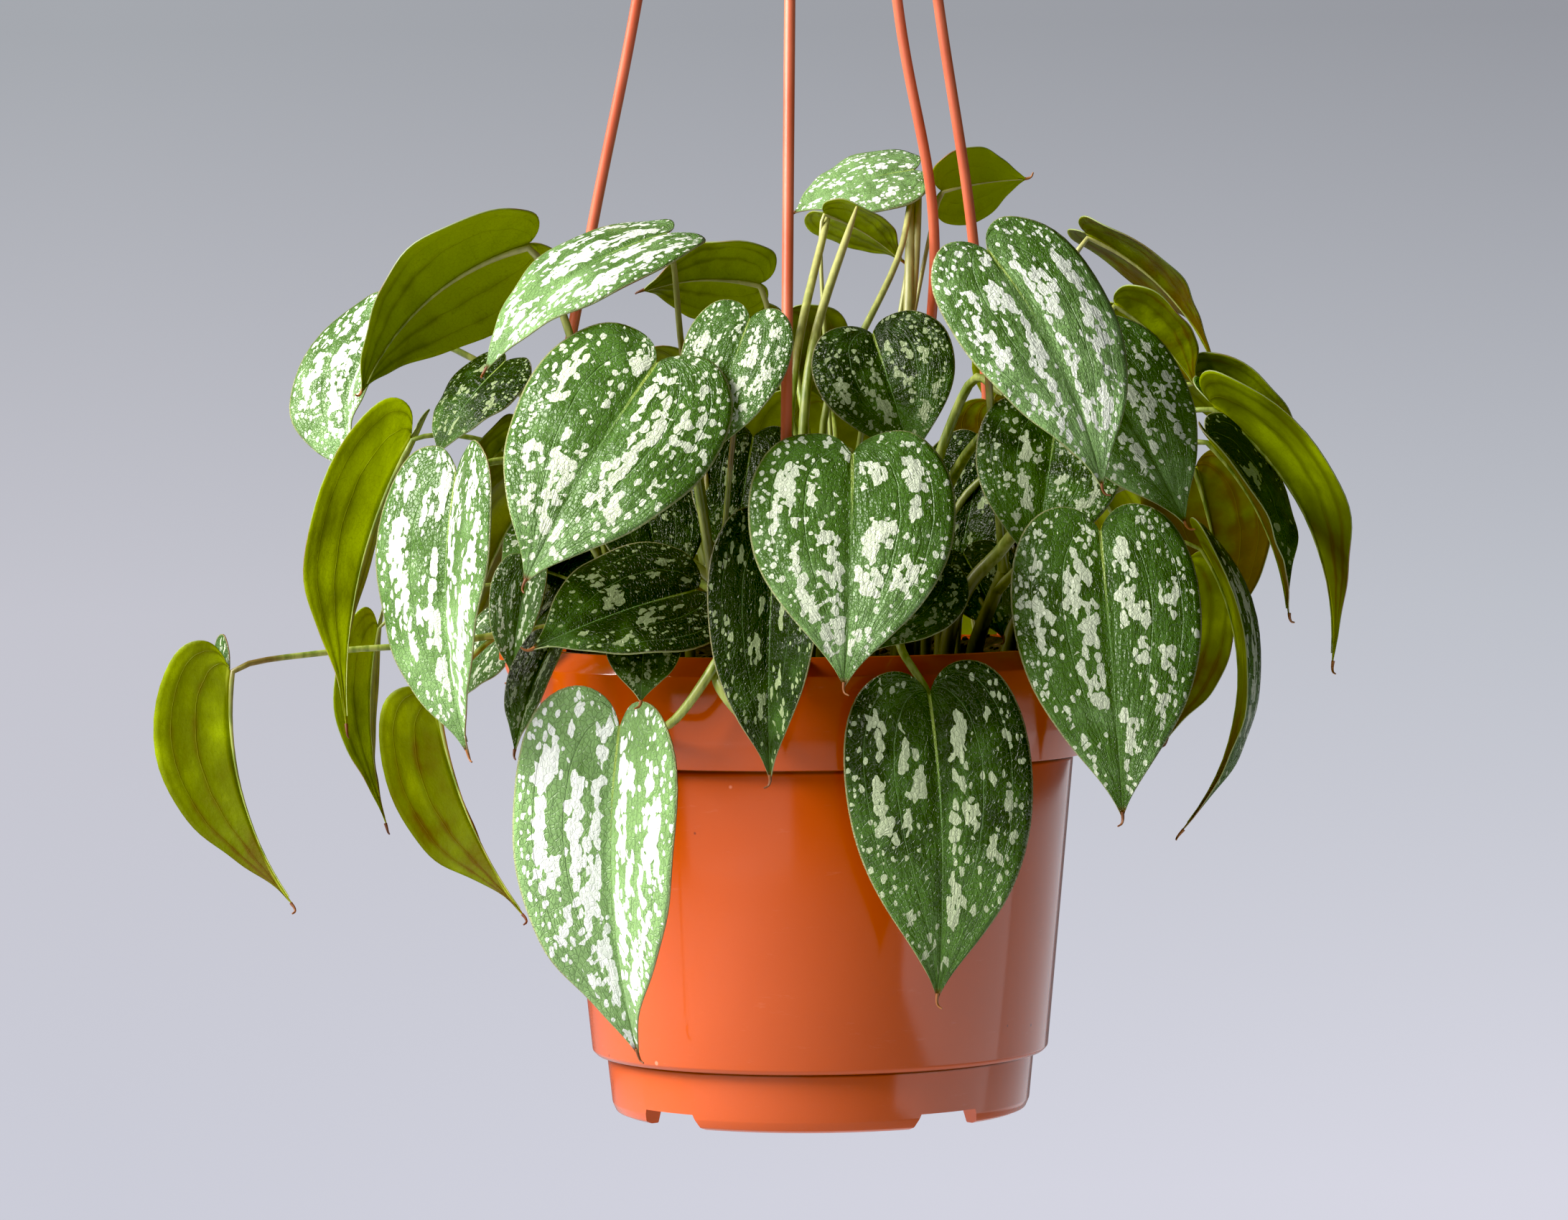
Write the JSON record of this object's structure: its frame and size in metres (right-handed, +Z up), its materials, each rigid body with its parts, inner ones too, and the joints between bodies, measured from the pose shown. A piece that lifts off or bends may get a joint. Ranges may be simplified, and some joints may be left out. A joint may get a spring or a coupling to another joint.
{
  "type": "potted satin pothos",
  "caption": "Trailing satin-leaved pothos with silver-blotched, heart-shaped leaves in a round moulded pot that hangs from a hook by bowed strands.",
  "frame": {"origin": "the point on the inside of the hook's bend that bears on a nail or rail, on the pot's axis", "axes": "+Z up along the pot's axis, -Y towards the side that the picture shows, +X to that view's right"},
  "size_m": [0.3216, 0.2173, 0.5932],
  "materials": {
    "pot_plastic": "terracotta-orange moulded plastic, semi-gloss",
    "hanger_plastic": "salmon-orange moulded plastic, semi-gloss",
    "potting_soil": "dark fibrous potting compost, matt",
    "satin_leaf": "satin green leaf with pale silver blotches"
  },
  "bodies": {
    "root": {"pot": "pot_plastic", "soil": "potting_soil", "hanger_hook": "hanger_plastic", "strand_front": "hanger_plastic", "strand_left": "hanger_plastic", "strand_right": "hanger_plastic", "strand_back": "hanger_plastic", "vine_front": "satin_leaf", "vine_front_left": "satin_leaf", "vine_over_rim": "satin_leaf", "vine_front_right": "satin_leaf", "vine_right": "satin_leaf", "vine_right_side": "satin_leaf", "vine_right_outer": "satin_leaf", "vine_left": "satin_leaf", "vine_left_side": "satin_leaf", "vine_left_outer": "satin_leaf", "vine_back": "satin_leaf", "vine_back_left": "satin_leaf", "vine_back_right": "satin_leaf", "vine_back_middle": "satin_leaf"}
  },
  "joints": []
}
